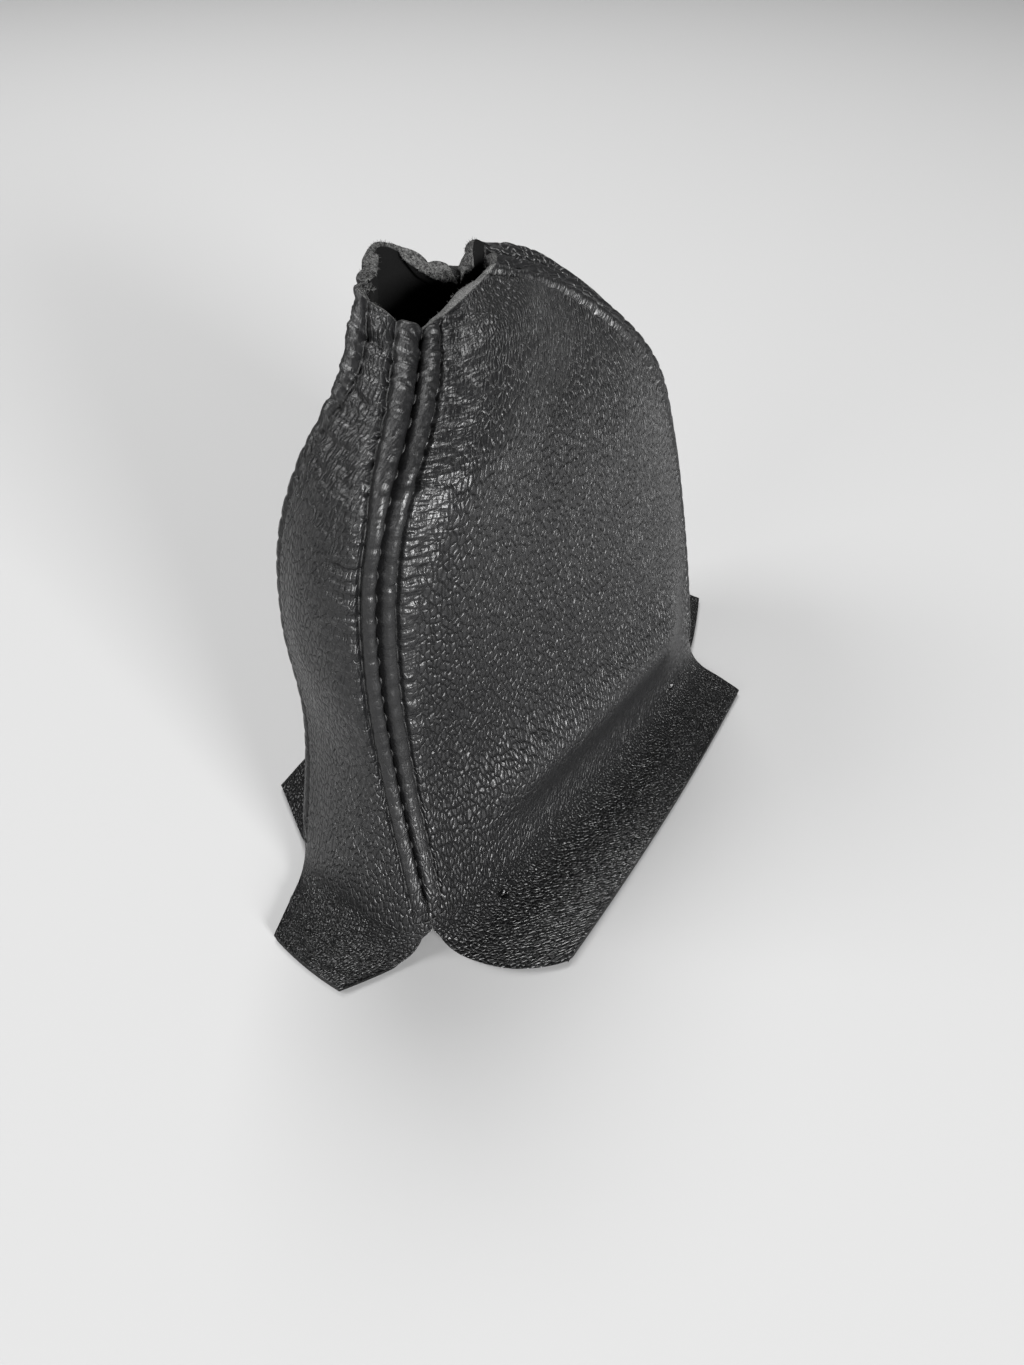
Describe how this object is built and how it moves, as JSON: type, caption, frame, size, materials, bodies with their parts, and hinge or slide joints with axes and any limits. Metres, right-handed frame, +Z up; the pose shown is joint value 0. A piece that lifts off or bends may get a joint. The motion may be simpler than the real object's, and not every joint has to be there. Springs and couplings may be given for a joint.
{
  "type": "gear lever gaiter",
  "caption": "Black leather gear lever gaiter: panels joined by twin-stitched corner seams, a flange below each panel, and a narrow open neck.",
  "frame": {"origin": "the middle of the footprint, in the plane of the flanges' undersides", "axes": "+X along the body towards the rear panel, +Y across it towards the left panel, +Z up through the neck"},
  "size_m": [0.1912, 0.1036, 0.1469],
  "materials": {
    "leather": "satin, fine pebble grain",
    "thread": "matt twisted thread"
  },
  "bodies": {
    "root": {"right_panel": "leather", "rear_panel": "leather", "left_panel": "leather", "front_panel": "leather", "front_topstitch_thread": "thread", "right_topstitch_thread": "thread", "rear_topstitch_thread": "thread", "left_topstitch_thread": "thread", "front_joining_thread": "thread", "right_joining_thread": "thread", "rear_joining_thread": "thread", "left_joining_thread": "thread"}
  },
  "joints": []
}
